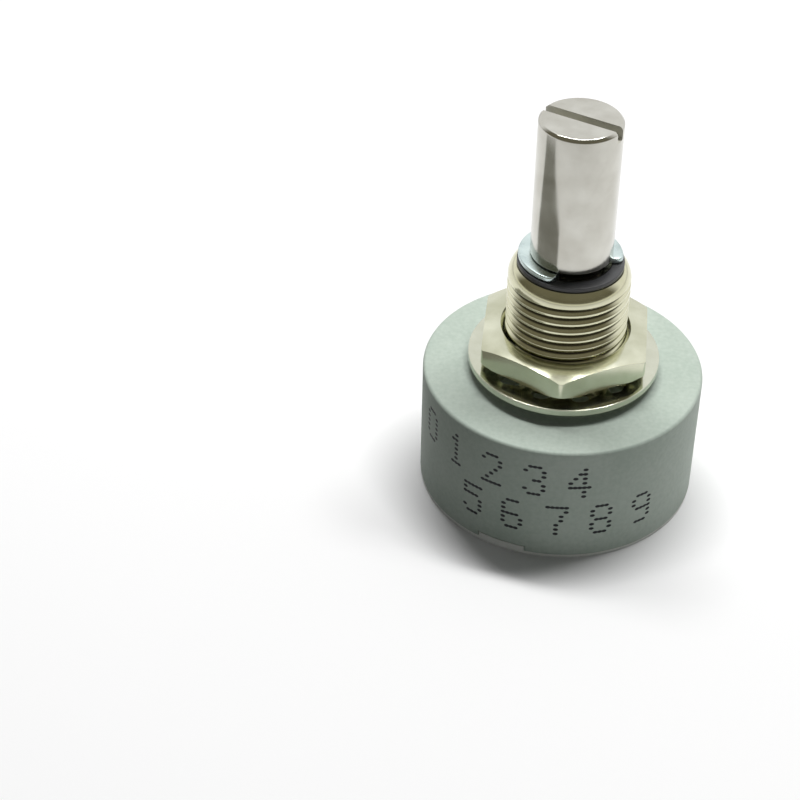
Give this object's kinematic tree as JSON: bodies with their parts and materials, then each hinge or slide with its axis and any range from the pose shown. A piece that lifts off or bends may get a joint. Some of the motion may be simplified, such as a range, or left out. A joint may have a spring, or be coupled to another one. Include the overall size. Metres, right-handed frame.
{
  "type": "precision potentiometer",
  "caption": "Single-turn precision potentiometer: round grey moulded body, threaded mounting bushing with nut and lock washer, slotted steel shaft that turns endlessly, radial solder lugs.",
  "frame": {"origin": "on the shaft axis, at the outer face of the rear cover", "axes": "+Z along the shaft to its tip, +Y along the middle terminal, +X to the right when the terminals are at the back"},
  "size_m": [0.0222, 0.0274, 0.0332],
  "materials": {
    "housing_plastic": "fine matt moulding",
    "cover_plastic": "fine matt moulding",
    "nickel_plate": "bright nickel plate over brass",
    "washer_steel": "nickel plate",
    "stainless_steel": "ground",
    "zinc_plate": "bluish zinc plate",
    "black_nylon": "smooth",
    "spring_steel": "rolled sheet",
    "rotor_plastic": "moulded",
    "contact_alloy": "bright spring sheet",
    "laminate": "moulded laminate",
    "carbon_ink": "burnished conductive plastic",
    "silver_ink": "fired silver",
    "terminal_brass": "thin gold plate"
  },
  "bodies": {
    "stator": {"housing": "housing_plastic", "rear_cover": "cover_plastic", "bushing": "nickel_plate", "mounting_nut": "nickel_plate", "lock_washer": "washer_steel", "thrust_washer": "black_nylon", "wave_washer": "spring_steel", "element_disc": "laminate", "resistance_track": "carbon_ink", "collector_track": "carbon_ink", "pad_1": "silver_ink", "pad_2": "silver_ink", "pad_3": "silver_ink", "terminal_1": "terminal_brass", "terminal_2": "terminal_brass", "terminal_3": "terminal_brass", "rivet_1": "terminal_brass", "rivet_2": "terminal_brass", "rivet_3": "terminal_brass"},
    "rotor": {"shaft": "stainless_steel", "retaining_ring": "zinc_plate", "rotor_hub": "rotor_plastic", "wiper": "contact_alloy"}
  },
  "joints": [
    {"name": "shaft_turn", "type": "hinge", "parent": "stator", "child": "rotor", "pos_m": [0, 0, 0], "axis": [0, 0, 1], "continuous": true}
  ]
}
